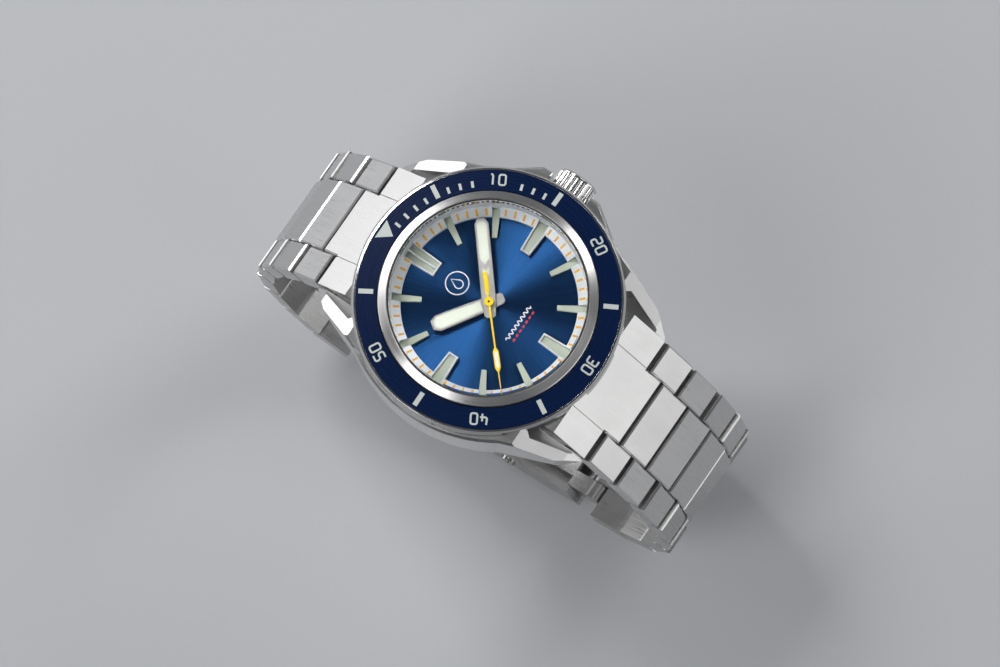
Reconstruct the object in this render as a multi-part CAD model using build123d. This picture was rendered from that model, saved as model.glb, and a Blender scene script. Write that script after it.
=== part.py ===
from build123d import *
import os
from math import sin, cos, radians, degrees, hypot, atan2, acos

# Automatic dive watch on a three-row steel bracelet, closed as worn. Millimetres.
# Origin: centre of the case back's outer face. +Z leaves the dial, +Y points to
# 12 o'clock, +X points to 3 o'clock, where the crown is.

# ---------------------------------------------------------------- driving sizes
BEZEL_R = 21.0            # bezel ring, outer radius: a 42 mm watch
BEZEL_BOTTOM = 8.75
BEZEL_TOP = 11.2
GRIP_COUNT = 12           # raised grips round the bezel
GRIP_RECESS = 0.45        # depth of the recess between two grips
INSERT_OUT_R = 20.35
INSERT_IN_R = 17.0
INSERT_OUT_Z = 11.3       # top of the insert at its outer edge
INSERT_IN_Z = 11.6        # top of the insert at its inner edge
INSERT_THICK = 0.8
RING_OUT_R = 16.85        # steel ring round the crystal
RING_IN_R = 15.5
RING_TOP = 12.4
RING_FALL = 0.45          # from the ring's inner edge to its outer edge
CRYSTAL_R = 15.2
CRYSTAL_BOTTOM = 10.6
CRYSTAL_TOP = 12.75
CRYSTAL_BEVEL = 0.15

CASE_BOTTOM = 1.4
CASE_TOP = 8.6
FLANK_X = 21.3            # widest point of the flank opposite the crown
GUARD_X = 22.4            # outer faces of the two crown guards
LUG_INNER_X = 11.2        # half the gap between two lugs
LUG_ROOT = (17.3, 13.3)   # where a lug leaves the flank, at the bezel's edge
LUG_CORNER = (14.2, 21.4)
LUG_TIP_Y = 24.4
BAR_Y = 21.7              # spring bar
BAR_Z = 2.5
BAR_R = 0.75
BAR_TIP_R = 0.4
POCKET_R = 18.2           # case wall between the lugs, which the end link hugs

DIAL_R = 15.3
DIAL_BOTTOM = 7.0
DIAL_TOP = 7.4
CHAPTER_IN_R = 13.6
CHAPTER_OUT_R = 15.35
MARKER_TOP = 7.95
FRAME_TOP = 8.1           # silver frames of the markers at 12, 3, 6 and 9
FRAME_WALL = 0.25
FRAMED_LUME_TOP = 7.8

STEM_Z = 5.0
STEM_R = 0.5
CROWN_R = 3.25
CROWN_IN_X = 20.8
CROWN_OUT_X = 24.4
CROWN_FLUTES = 24

LINK_WIDTH = 22.0
CENTRE_WIDTH = 11.6
SIDE_GAP = 0.1            # between a centre piece and the outer pieces that straddle it
LINK_THICK = 3.2
LINK_PITCH = 7.1
LINK_GAP = 0.55           # between two pieces in a row when the bracelet is straight
PIN_R = 0.55
PIN_BORE_R = 0.6
LINK_CHAMFER = 0.25
END_PIVOT_Y = 25.4        # first bracelet pivot, beside the lug tips
END_PIVOT_Z = -0.2
END_ANGLE = 42.0          # slope of the end link at that pivot, below the horizontal
# slopes of the first six links on each side; the last two close the loop
ANGLES_12 = [46.0, 58.0, 71.0, 84.0, 98.0, 117.0]
ANGLES_6 = [49.0, 54.0, 67.0, 81.0, 96.0, 115.0]

CLASP_R = 66.0            # outer radius of the curved clasp cover
CLASP_PIVOT_R = 63.4      # radius at which both bracelet ends are pinned
CLASP_A = 19.5            # angle of the 12 o'clock side's pivot, from straight down
CLASP_B = 20.5            # angle of the 6 o'clock side's pivot, from straight down
CLASP_PIVOT_Z = -45.2     # height of the 12 o'clock side's pivot
CLASP_HALF_WIDTH = 10.0
BLADE_HALF_WIDTH = 7.0
HINGE_OUT_X = 3.5         # a clasp hinge's middle knuckle, half its length
KNUCKLE_R = 0.8
MID_HINGE_R = 63.0        # inner blade to middle blade
MID_HINGE_A = 11.0
COVER_HINGE_R = 63.95     # middle blade to cover
COVER_HINGE_A = -13.0
BUTTON_A = -6.5
BUTTON_R = 1.2

# watch train: tooth counts, modules and heights
CENTRE_TEETH, THIRD_PINION = 75, 10
THIRD_TEETH, FOURTH_PINION = 80, 10
FOURTH_TEETH, ESCAPE_PINION = 72, 8
BARREL_TEETH, CENTRE_PINION = 84, 12
CANNON_TEETH, MINUTE_TEETH = 12, 36
MINUTE_PINION, HOUR_TEETH = 10, 40
THIRD_DISTANCE = 5.1
ESCAPE_DISTANCE = 5.0
MINUTE_DISTANCE = 2.4
BARREL_R = 5.5
THIRD_ANGLE = -75.0
BARREL_ANGLE = 100.0
ESCAPE_ANGLE = -160.0
MINUTE_ANGLE = 140.0
BALANCE_X, BALANCE_Y = -7.1, -6.1
BALANCE_R = 3.5
ESCAPE_R = 2.2
PALLET_DISTANCE = 2.85    # from the escape wheel's axis
BRIDGE_BOTTOM = 2.5
BRIDGE_TOP = 2.9
PLATE_BOTTOM = 5.2
PLATE_TOP = 6.12
PLATE_R = 13.0

HOUR_AT = 304.2           # where the hands point, in degrees clockwise from 12
MINUTE_AT = 50.3
SECOND_AT = 228.0
HAND_BEVEL = 0.12


# ---------------------------------------------------------------- shared helpers
def save(name, *solids):
    """Write one node: a single solid, or a group of separate solids."""
    parts = []
    for item in solids:
        parts += list(item.solids())
    shape = parts[0] if len(parts) == 1 else Compound(children=parts)
    shape.label = name
    export_step(shape, "parts/" + name + ".step")


def tube(radius, z0, z1, bore=0.0, x=0.0, y=0.0):
    """A round disc or ring between two heights."""
    body = Cylinder(radius, z1 - z0, align=(Align.CENTER, Align.CENTER, Align.MIN))
    if bore:
        body -= Cylinder(bore, z1 - z0, align=(Align.CENTER, Align.CENTER, Align.MIN))
    return Pos(x, y, z0) * body


def rod_x(radius, x0, x1, y=0.0, z=0.0):
    """A round rod along X."""
    rod = Cylinder(radius, x1 - x0, align=(Align.CENTER, Align.CENTER, Align.MIN))
    return Pos(x0, y, z) * Rot(Y=90) * rod


def block(x0, x1, y0, y1, z0, z1):
    return Pos((x0 + x1) / 2, (y0 + y1) / 2, (z0 + z1) / 2) * Box(x1 - x0, y1 - y0, z1 - z0)


def turned(points):
    """A solid of revolution about Z from (radius, height) points."""
    return revolve(Plane.XZ * make_face(Polyline(*points, close=True)), Axis.Z, 360)


def plate_z(points, z0, z1):
    """A flat plate from an (x, y) outline."""
    return Pos(0, 0, z0) * extrude(make_face(Polyline(*points, close=True)), z1 - z0)


def prism_x(face, x0, x1):
    """Extrude a (y, z) face along X."""
    return Pos(x0, 0, 0) * extrude(Plane.YZ * face, x1 - x0)


def polar(radius, angle):
    return radius * cos(radians(angle)), radius * sin(radians(angle))


def clock(angle):
    """Turn a part made pointing to 12 so that it points to a clock angle."""
    return Rot(Z=-angle)


def bevelled(solid, size):
    """Bevel the edges round the top face."""
    top = solid.faces().filter_by(Axis.Z).sort_by(Axis.Z)[-1]
    return chamfer(top.edges(), size)


def both_sides(solid):
    """The solid and its mirror image across the 12-6 line."""
    return [solid, mirror(solid, Plane.YZ)]


# ---------------------------------------------------------------- case
def case_plan():
    """Outline of the case from above: a bowed flank, two crown guards and four slim lugs."""
    (root_x, root_y), (corner_x, corner_y) = LUG_ROOT, LUG_CORNER
    tip = (LUG_INNER_X + 0.4, LUG_TIP_Y)
    upper = [(root_x, root_y), (corner_x, corner_y), tip, (-tip[0], tip[1]), (-corner_x, corner_y), (-root_x, root_y)]
    guards = [(root_x, -root_y), (19.0, -9.9), (GUARD_X, -5.2), (GUARD_X, 5.2), (19.0, 9.9), (root_x, root_y)]
    flank = ThreePointArc(upper[-1], (-FLANK_X, 0), (-root_x, -root_y))
    lower = [(x, -y) for x, y in upper[::-1]]
    return make_face(Curve() + [Polyline(*upper), flank, Polyline(*lower), Polyline(*guards)])


def case_middle():
    body = bevelled(Pos(0, 0, 0.2) * extrude(case_plan(), CASE_TOP - 0.2), 0.4)
    under = body.faces().filter_by(Axis.Z).sort_by(Axis.Z)[0]
    body = chamfer(under.edges(), 1.1)
    # side view: flat top, lugs that fall towards their tips
    side = [(15.2, CASE_TOP), (LUG_TIP_Y - 1.9, 3.6), (LUG_TIP_Y, 1.4), (LUG_TIP_Y, 0.2), (20.6, 0.2),
            (17.2, CASE_BOTTOM)]
    outline = side + [(-y, z) for y, z in reversed(side)]
    body &= prism_x(make_face(Polyline(*outline, close=True)), -30, 30)
    # the pockets for the end links
    pocket = block(-LUG_INNER_X, LUG_INNER_X, -30, 30, -1, 20) - tube(POCKET_R, -2, 21)
    body -= pocket
    # a hollow beside each end link, which leaves the lug as a slim strip
    hollow = plate_z([(11.1, 23.4), (11.8, 22.6), (13.8, 16.8), (13.0, 15.9), (11.1, 16.6)], 3.2, 20)
    for turn in (0, 180):
        for side in both_sides(hollow):
            body -= Rot(Z=turn) * side
    # cavity: movement, dial seat and case back thread
    body -= tube(14.0, 0, 9)
    body -= tube(15.5, 6.9, 9)
    body -= tube(15.9, 0, 2.9)
    # room for the crown between its guards, and the hole for its tube
    body -= block(20.6, 30, -3.6, 3.6, -1, CASE_TOP + 1)
    body -= rod_x(1.3, 13, 24, z=STEM_Z)
    # holes for the spring bar tips in the lugs
    for y in (BAR_Y, -BAR_Y):
        body -= rod_x(BAR_TIP_R + 0.03, -12.7, 12.7, y=y, z=BAR_Z)
    return body


def case_back():
    body = turned([(0, 0), (14.2, 0), (15.4, 0.7), (16.9, 0.9), (16.9, 1.35), (15.85, 1.35), (15.85, 2.7),
                   (14.7, 2.7), (14.7, 1.25), (0, 1.25)])
    for i in range(6):   # opener notches
        body -= Rot(Z=30 + 60 * i) * block(15.0, 18, -1.1, 1.1, -1, 0.95)
    relief = tube(10.6, -0.1, 0.2, 10.2)   # a plain engraved ring
    return body - relief


def gaskets():
    """Case back, crystal and crown tube seals."""
    back = tube(15.8, 2.72, 2.88, 15.0)
    glass = tube(RING_IN_R, 10.7, 12.2, CRYSTAL_R)
    crown_seal = rod_x(1.0, 21.8, 22.3, z=STEM_Z) - rod_x(STEM_R + 0.02, 21, 23, z=STEM_Z)
    return back, glass, crown_seal


def crystal():
    body = tube(CRYSTAL_R, CRYSTAL_BOTTOM, CRYSTAL_TOP)
    top = body.faces().sort_by(Axis.Z)[-1]
    return chamfer(top.edges(), CRYSTAL_BEVEL)


def crystal_ring():
    """Steel ring with a conical top that falls outwards."""
    return turned([(RING_IN_R, 8.62), (RING_OUT_R, 8.62), (RING_OUT_R, RING_TOP - RING_FALL - 0.08),
                   (RING_OUT_R - 0.08, RING_TOP - RING_FALL), (RING_IN_R + 0.1, RING_TOP),
                   (RING_IN_R, RING_TOP - 0.1)])


def bezel_ring():
    body = turned([(17.0, BEZEL_BOTTOM), (BEZEL_R - 0.5, BEZEL_BOTTOM), (BEZEL_R, BEZEL_BOTTOM + 0.5),
                   (BEZEL_R, BEZEL_TOP - 0.55), (BEZEL_R - 0.35, BEZEL_TOP - 0.05), (INSERT_OUT_R, BEZEL_TOP),
                   (INSERT_OUT_R, INSERT_OUT_Z - INSERT_THICK), (17.0, INSERT_OUT_Z - INSERT_THICK)])
    body -= tube(19.6, BEZEL_BOTTOM - 1, BEZEL_BOTTOM + 0.45, 17.6)   # room for the click spring
    step = 360 / GRIP_COUNT
    for i in range(GRIP_COUNT):
        recess = tube(BEZEL_R + 2, BEZEL_BOTTOM - 1, BEZEL_TOP - 0.45, BEZEL_R - GRIP_RECESS)
        wedge = plate_z([(0, 0), polar(30, -5), polar(30, 5)], BEZEL_BOTTOM - 1, BEZEL_TOP)
        body -= Rot(Z=step * i + step / 2) * (recess & wedge)
    return body


def bezel_insert():
    low = INSERT_OUT_Z - INSERT_THICK
    return turned([(INSERT_IN_R + 0.02, low), (INSERT_OUT_R - 0.02, low), (INSERT_OUT_R - 0.02, INSERT_OUT_Z - 0.08),
                   (INSERT_OUT_R - 0.12, INSERT_OUT_Z), (INSERT_IN_R + 0.1, INSERT_IN_Z),
                   (INSERT_IN_R + 0.02, INSERT_IN_Z - 0.08)])


def bezel_click_spring():
    """A flat ring with three raised tongues that click under the bezel."""
    body = tube(19.3, 8.62, 8.82, 17.9)
    for i in range(3):
        tongue = tube(19.1, 8.8, 9.0, 18.1) & plate_z([(0, 0), polar(30, -4), polar(30, 4)], 8, 10)
        body += Rot(Z=120 * i) * tongue
    return body


def crown_tube():
    return rod_x(1.28, 14.1, 22.9, z=STEM_Z) - (rod_x(0.75, 14, 21.7, z=STEM_Z) + rod_x(1.02, 21.7, 23, z=STEM_Z))


def crown():
    """Fluted crown with a cavity that covers the tube."""
    body = rod_x(CROWN_R, CROWN_IN_X, CROWN_OUT_X)
    body = chamfer(body.edges().filter_by(GeomType.CIRCLE), 0.3)
    for i in range(CROWN_FLUTES):
        flute = rod_x(0.3, CROWN_IN_X - 1, CROWN_OUT_X - 0.55, y=CROWN_R + 0.12)
        body -= Rot(X=360 / CROWN_FLUTES * i) * flute
    body -= rod_x(1.4, CROWN_IN_X - 1, 23.1)
    body -= rod_x(STEM_R, 22, 23.6)
    return Pos(0, 0, STEM_Z) * body


def winding_stem():
    """Round stem with a square end that slides in the pinion."""
    body = rod_x(STEM_R, 9.4, 23.6) + block(5.6, 9.5, -0.3, 0.3, -0.3, 0.3)
    return Pos(0, 0, STEM_Z) * body


def sliding_pinion():
    body = rod_x(0.95, 6.6, 8.6) - rod_x(0.7, 7.3, 7.9) + rod_x(0.66, 7.3, 7.9)
    body -= block(6, 9, -0.34, 0.34, -0.34, 0.34)
    for i in range(10):
        body -= Rot(X=36 * i) * block(8.2, 9, 0.62, 1.2, -0.13, 0.13)
    return Pos(0, 0, STEM_Z) * body


# ---------------------------------------------------------------- dial and hands
def marker_bar(low_in, high_in, low_out, high_out, r0, r1, z0, z1):
    """A tapered bar that points outwards at 12 o'clock, between two radii."""
    return plate_z([(low_in, r0), (high_in, r0), (high_out, r1), (low_out, r1)], z0, z1)


def frame_slots(angle, gap):
    """Sides of the openings in a framed marker, at its inner and outer ends; gap shrinks them all round."""
    wide_in, wide_out = (1.22, 1.48) if angle == 0 else (0.83, 1.14)
    wall = FRAME_WALL + gap
    if angle == 0:
        rib = 0.14 + gap
        return [(-wide_in + wall, -rib, -wide_out + wall, -rib), (rib, wide_in - wall, rib, wide_out - wall)]
    return [(-wide_in + wall, wide_in - wall, -wide_out + wall, wide_out - wall)]


def chapter_ring():
    """Sloped silver ring, with the frames of the 12, 3, 6 and 9 markers."""
    body = turned([(CHAPTER_IN_R, DIAL_TOP), (CHAPTER_OUT_R, DIAL_TOP), (CHAPTER_OUT_R, 10.4), (15.15, 10.4),
                   (15.0, 9.0), (CHAPTER_IN_R, 8.1)])
    for angle in (0, 90, 180, 270):
        low, high = frame_slots(angle, -FRAME_WALL)[0][0], frame_slots(angle, -FRAME_WALL)[-1][3]
        frame = marker_bar(low, -low, -high, high, 9.6, 14.9, DIAL_TOP, FRAME_TOP) & tube(14.4, 7, 9)
        for slot in frame_slots(angle, 0):
            frame -= marker_bar(*slot, 9.6 + FRAME_WALL, 14.95, DIAL_TOP - 1, FRAME_TOP + 1)
            body -= clock(angle) * marker_bar(*slot, 9.6 + FRAME_WALL, 14.95, DIAL_TOP - 1, FRAME_TOP + 3)
        body += clock(angle) * frame
    for hour in (1, 2, 4, 5, 7, 8, 10, 11):
        body -= clock(30 * hour) * marker_bar(-0.41, 0.41, -0.63, 0.63, 10.3, 14.95, DIAL_TOP - 1, MARKER_TOP + 3)
    return body


def hour_markers():
    """Lume blocks: two at 12, one in each frame, plain tapered bars elsewhere."""
    bars = []
    for angle in (0, 90, 180, 270):
        for slot in frame_slots(angle, 0.02):
            bars.append(clock(angle) * marker_bar(*slot, 9.62 + FRAME_WALL, 14.9, DIAL_TOP + 0.01, FRAMED_LUME_TOP))
    for hour in (1, 2, 4, 5, 7, 8, 10, 11):
        bars.append(clock(30 * hour) * marker_bar(-0.38, 0.38, -0.6, 0.6, 10.4, 14.9, DIAL_TOP + 0.01, MARKER_TOP))
    return bars


def dial():
    return tube(DIAL_R, DIAL_BOTTOM, DIAL_TOP, 1.0)


def hour_hand():
    outline = [(-0.9, -2.1), (-0.55, -2.45), (0.55, -2.45), (0.9, -2.1), (1.1, 0), (1.3, 6.5), (1.3, 8.4), (0.75, 9.4),
               (-0.75, 9.4), (-1.3, 8.4), (-1.3, 6.5), (-1.1, 0)]
    body = bevelled(plate_z(outline, 8.15, 8.37), HAND_BEVEL)
    body -= tube(0.8, 7, 9)
    return clock(HOUR_AT) * body


def minute_hand():
    outline = [(-0.85, -2.1), (-0.5, -2.45), (0.5, -2.45), (0.85, -2.1), (1.1, 0), (1.1, 12.4), (0.6, 13.3),
               (-0.6, 13.3), (-1.1, 12.4), (-1.1, 0)]
    body = bevelled(plate_z(outline, 8.55, 8.77), HAND_BEVEL)
    body -= tube(0.5, 8, 9)
    return clock(MINUTE_AT) * body


def seconds_hand():
    needle = plate_z([(-0.17, 0), (0.17, 0), (0.07, 13.7), (-0.07, 13.7)], 9.15, 9.3)
    lozenge = plate_z([(0.2, 7.4), (0.45, 7.9), (0.45, 10.4), (0.2, 11), (-0.2, 11), (-0.45, 10.4), (-0.45, 7.9),
                       (-0.2, 7.4)], 9.15, 9.32)
    weight = plate_z([(-0.14, 0), (-0.14, -1.4), (-0.33, -1.7), (-0.33, -4.4), (0.33, -4.4), (0.33, -1.7),
                      (0.14, -1.4), (0.14, 0)], 9.15, 9.3) + tube(0.33, 9.15, 9.3, y=-4.4)
    body = needle + lozenge + weight + tube(0.7, 9.15, 9.4)
    body -= tube(0.2, 9, 9.3)
    return clock(SECOND_AT) * body


# ---------------------------------------------------------------- movement
def gear_outline(teeth, module, phase, width=0.36):
    """Points of a spur gear with slim straight-sided teeth, one tooth at the phase angle."""
    root = module * teeth / 2 - 1.25 * module
    tip = module * teeth / 2 + 0.75 * module
    step = 360 / teeth
    points = []
    for i in range(teeth):
        at = phase + step * i
        for radius, offset in ((root, -0.6 * width), (tip, -0.28 * width), (tip, 0.28 * width), (root, 0.6 * width)):
            points.append(polar(radius, at + offset * step))
    return points


def gear(teeth, module, phase, z0, z1, x=0.0, y=0.0, windows=0):
    """A gear between two heights, lightened by round windows if asked."""
    body = plate_z(gear_outline(teeth, module, phase), z0, z1)
    radius = module * teeth / 2
    for i in range(windows):
        wx, wy = polar(radius * 0.56, 360 / windows * i + 30)
        body -= tube(radius * 0.27, z0 - 1, z1 + 1, x=wx, y=wy)
    return Pos(x, y, 0) * body


def mesh_phase(teeth_a, phase_a, angle, teeth_b):
    """Phase of gear b, which lies at the given angle from gear a, so that the teeth mesh."""
    step_a, step_b = 360 / teeth_a, 360 / teeth_b
    share = ((angle - phase_a) / step_a) % 1
    return angle + 180 - (0.5 - share) * step_b


def arbor(x, y, radius, z0, z1):
    """A wheel's shaft with two thin pivots that reach into the plate and the bridge."""
    return tube(radius, z0, z1, x=x, y=y) + tube(0.1, BRIDGE_BOTTOM + 0.1, PLATE_BOTTOM + 0.3, x=x, y=y)


THIRD_XY = polar(THIRD_DISTANCE, THIRD_ANGLE)
ESCAPE_XY = polar(ESCAPE_DISTANCE, ESCAPE_ANGLE)
CENTRE_MODULE = 2 * THIRD_DISTANCE / (CENTRE_TEETH + THIRD_PINION)
THIRD_MODULE = 2 * THIRD_DISTANCE / (THIRD_TEETH + FOURTH_PINION)
FOURTH_MODULE = 2 * ESCAPE_DISTANCE / (FOURTH_TEETH + ESCAPE_PINION)
BARREL_MODULE = 2 * BARREL_R / BARREL_TEETH
BARREL_XY = polar(BARREL_R + BARREL_MODULE * CENTRE_PINION / 2, BARREL_ANGLE)
CANNON_MODULE = 2 * MINUTE_DISTANCE / (CANNON_TEETH + MINUTE_TEETH)
HOUR_MODULE = 2 * MINUTE_DISTANCE / (MINUTE_PINION + HOUR_TEETH)
MINUTE_XY = polar(MINUTE_DISTANCE, MINUTE_ANGLE)
TO_BALANCE = degrees(atan2(BALANCE_Y - ESCAPE_XY[1], BALANCE_X - ESCAPE_XY[0]))
PALLET_XY = (ESCAPE_XY[0] + polar(PALLET_DISTANCE, TO_BALANCE)[0], ESCAPE_XY[1] + polar(PALLET_DISTANCE, TO_BALANCE)[1])


def center_wheel():
    """Centre wheel and pinion on a hollow arbor that carries the cannon pinion and the minute hand."""
    wheel = gear(CENTRE_TEETH, CENTRE_MODULE, 0, 3.75, 3.93, windows=5)
    pinion = gear(CENTRE_PINION, BARREL_MODULE, 0, 4.15, 5.1)
    cannon = gear(CANNON_TEETH, CANNON_MODULE, 0, 6.17, 6.42)
    body = wheel + pinion + cannon + tube(0.42, 3.68, 8.85) + tube(0.9, 3.75, 3.93)
    return body - tube(0.26, 3, 10)


def fourth_wheel():
    """Fourth wheel and pinion; its long arbor carries the seconds hand."""
    wheel = gear(FOURTH_TEETH, FOURTH_MODULE, 0, 3.1, 3.28, windows=5)
    pinion = gear(FOURTH_PINION, THIRD_MODULE, 0, 3.28, 3.64)
    return wheel + pinion + tube(0.2, 3.1, 9.29) + tube(0.1, BRIDGE_BOTTOM + 0.1, 3.2)


def third_wheel():
    x, y = THIRD_XY
    pinion_phase = mesh_phase(CENTRE_TEETH, 0, THIRD_ANGLE, THIRD_PINION)
    wheel_phase = mesh_phase(FOURTH_PINION, 0, THIRD_ANGLE, THIRD_TEETH)
    wheel = gear(THIRD_TEETH, THIRD_MODULE, wheel_phase, 3.4, 3.56, x, y, windows=5)
    pinion = gear(THIRD_PINION, CENTRE_MODULE, pinion_phase, 3.56, 4.05, x, y)
    return wheel + pinion + arbor(x, y, 0.2, BRIDGE_TOP + 0.03, PLATE_BOTTOM - 0.03)


def escape_wheel():
    """Club-toothed escape wheel with its pinion."""
    x, y = ESCAPE_XY
    phase = mesh_phase(FOURTH_TEETH, 0, ESCAPE_ANGLE, ESCAPE_PINION)
    pinion = gear(ESCAPE_PINION, FOURTH_MODULE, phase, 3.0, 3.4, x, y)
    outline = []
    for i in range(20):
        outline += [polar(ESCAPE_R - 0.55, 18 * i), polar(ESCAPE_R, 18 * i + 7), polar(ESCAPE_R - 0.05, 18 * i + 10),
                    polar(ESCAPE_R - 0.5, 18 * i + 9)]
    wheel = Pos(x, y, 0) * (plate_z(outline, 4.12, 4.24) - tube(1.3, 4, 5, 0.6))
    for i in range(4):
        wheel += Pos(x, y, 0) * (Rot(Z=90 * i) * block(0.4, 1.5, -0.12, 0.12, 4.12, 4.24))
    return wheel + pinion + arbor(x, y, 0.16, BRIDGE_TOP + 0.03, PLATE_BOTTOM - 0.03)


def barrel():
    """Toothed drum with a lid, hollow for the mainspring, and its arbor."""
    x, y = BARREL_XY
    phase = mesh_phase(CENTRE_PINION, 0, BARREL_ANGLE, BARREL_TEETH)
    ring = gear(BARREL_TEETH, BARREL_MODULE, phase, 4.8, 5.05, x, y)
    drum = tube(5.2, 4.15, 5.05, x=x, y=y)
    body = ring + drum - tube(4.9, 4.3, 4.9, 0.9, x=x, y=y)
    return body + arbor(x, y, 0.45, BRIDGE_TOP + 0.03, PLATE_BOTTOM - 0.03)


def mainspring():
    """The wound spring as four close rings inside the drum."""
    x, y = BARREL_XY
    return [tube(radius, 4.35, 4.85, radius - 0.35, x=x, y=y) for radius in (1.7, 2.6, 3.5, 4.4)]


def pallet_fork():
    """Lever with two ruby pallets, just clear of the escape wheel's tips."""
    arms = plate_z([(-0.22, -1.55), (0.1, -1.62), (0.42, 0), (0.1, 1.62), (-0.22, 1.55), (0.0, 0)], 4.1, 4.28)
    arms += tube(0.34, 4.1, 4.28)
    lever = block(0.1, 1.45, -0.14, 0.14, 4.1, 4.28)
    horns = block(1.3, 1.72, -0.34, 0.34, 4.1, 4.28) - block(1.48, 1.8, -0.15, 0.15, 4, 5)
    stones = block(-0.42, -0.02, 1.42, 1.62, 4.08, 4.3) + block(-0.42, -0.02, -1.62, -1.42, 4.08, 4.3)
    body = Rot(Z=TO_BALANCE) * (arms + lever + horns + stones)
    return Pos(PALLET_XY[0], PALLET_XY[1], 0) * body + arbor(PALLET_XY[0], PALLET_XY[1], 0.14, 3.85, 4.6)


def balance_wheel():
    x, y = BALANCE_X, BALANCE_Y
    body = tube(BALANCE_R, 3.38, 3.72, BALANCE_R - 0.4) + tube(0.5, 3.38, 3.72)
    for i in range(3):
        body += Rot(Z=120 * i + 20) * block(0.3, BALANCE_R - 0.2, -0.2, 0.2, 3.42, 3.62)
    return Pos(x, y, 0) * body + arbor(x, y, 0.16, BRIDGE_TOP + 0.03, PLATE_BOTTOM - 0.03)


def hairspring():
    """Flat spiral from the collet to the stud on the cock."""
    turns, first, last, half = 7, 0.6, 2.3, 0.03
    steps = turns * 12
    outer, inner = [], []
    for i in range(steps + 1):
        radius = first + (last - first) * i / steps
        outer.append(polar(radius + half, 30 * i))
        inner.append(polar(radius - half, 30 * i))
    strip = plate_z(outer + inner[::-1], 3.05, 3.2)
    return Pos(BALANCE_X, BALANCE_Y, 0) * strip


def bearing_places():
    """Axes that turn in both the main plate and the train bridge."""
    return [THIRD_XY, ESCAPE_XY, PALLET_XY, (BALANCE_X, BALANCE_Y)]


SCREWS = [(8.9, 6.0), (-10.1, 3.6), (8.4, -6.4), (-1.5, -10.6), (-10.5, -1.7)]


def bores(bottom, top, barrel_bore):
    """Holes for the jewels, the barrel arbor and the screws."""
    holes = tube(0.55, bottom, top)
    for x, y in bearing_places():
        holes += tube(0.4, bottom, top, x=x, y=y)
    holes += tube(barrel_bore, bottom, top, x=BARREL_XY[0], y=BARREL_XY[1])
    return holes


def main_plate():
    body = tube(PLATE_R, PLATE_BOTTOM, PLATE_TOP)
    body -= bores(5, 7, 0.15)
    body -= block(5.2, 14, -1.15, 1.15, 5, 7)    # slot of the winding stem
    for x, y in SCREWS:   # pillars that carry the bridge and the cock
        body += tube(0.95, BRIDGE_TOP, PLATE_BOTTOM + 0.1, x=x, y=y)
        body -= tube(0.4, 2, 4.4, x=x, y=y)
    body += tube(0.2, 6, 6.95, x=MINUTE_XY[0], y=MINUTE_XY[1])   # post of the minute wheel
    return body


def cock_outline():
    return [(-13.2, -0.4), (-10.2, -0.7), (-8.9, -4.6), (-5.6, -5.4), (-5.3, -7.2), (-7.4, -12.0), (-12.5, -9.0)]


def bridge_disc(radius):
    return tube(radius, BRIDGE_BOTTOM, BRIDGE_TOP)


def train_bridge():
    body = bridge_disc(11.6)
    body -= plate_z([(-14, -0.2), (-9.9, -0.5), (-8.5, -3.9), (-5.35, -4.95), (-4.9, -7.4), (-7.2, -14), (-14, -14)],
                    2, 4)
    body -= bores(2, 4, 0.15)
    for x, y in SCREWS[:4]:
        body -= tube(0.4, 2, 4, x=x, y=y)
    body += tube(1.1, 2.2, 2.6, 0.55)    # boss that carries the rotor's bearing
    return body


def balance_cock():
    body = plate_z(cock_outline(), BRIDGE_BOTTOM, BRIDGE_TOP) & bridge_disc(12.9)
    body -= bores(2, 4, 0.15)
    return body - tube(0.4, 2, 4, x=SCREWS[4][0], y=SCREWS[4][1])


def bridge_screws():
    """Slotted screws that hold the bridge and the cock to the main plate's pillars."""
    screws = []
    for x, y in SCREWS:
        head = tube(0.75, BRIDGE_BOTTOM - 0.2, BRIDGE_BOTTOM, x=x, y=y)
        head -= block(x - 1, x + 1, y - 0.09, y + 0.09, 2.2, BRIDGE_BOTTOM - 0.1)
        screws.append(head + tube(0.38, BRIDGE_BOTTOM, 4.3, x=x, y=y))
    return screws


def jewels():
    """Ruby bearings in the plate and in the bridge and cock."""
    stones = [tube(0.54, 2.52, 2.88, 0.13)]
    for x, y in bearing_places():
        stones.append(tube(0.39, 2.52, 2.88, 0.13, x=x, y=y))
        stones.append(tube(0.39, 5.22, 5.6, 0.13, x=x, y=y))
    return stones


def rotor():
    """Half-round winding weight on a ball-bearing hub."""
    half = plate_z([(-15, 0.6), (15, 0.6), (15, -15), (-15, -15)], 1, 4)
    arm = tube(11.9, 1.75, 2.0) & half
    for start in (-62, -90, -118):
        wx, wy = polar(7.2, start)
        arm -= tube(1.3, 1, 3, x=wx, y=wy)
    rim = tube(12.9, 1.6, 2.42, 11.75) & half
    hub = tube(2.2, 1.6, 2.12) - tube(1.15, 2.0, 3)
    return arm + rim + hub


def minute_wheel():
    x, y = MINUTE_XY
    wheel_phase = mesh_phase(CANNON_TEETH, 0, MINUTE_ANGLE, MINUTE_TEETH)
    wheel = gear(MINUTE_TEETH, CANNON_MODULE, wheel_phase, 6.2, 6.38, x, y)
    pinion = gear(MINUTE_PINION, HOUR_MODULE, 0, 6.38, 6.8, x, y)
    return wheel + pinion - tube(0.23, 6, 7, x=x, y=y)


def hour_wheel():
    phase = mesh_phase(MINUTE_PINION, 0, MINUTE_ANGLE + 180, HOUR_TEETH)
    wheel = gear(HOUR_TEETH, HOUR_MODULE, phase, 6.56, 6.74)
    return wheel + tube(0.78, 6.56, 8.35) - tube(0.46, 6, 9)


def movement_holder():
    body = tube(13.95, 3.2, 6.85, 13.05)
    body += tube(13.95, 6.3, 6.85, 12.7)
    return body - rod_x(1.2, 12, 15, z=STEM_Z)


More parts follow.
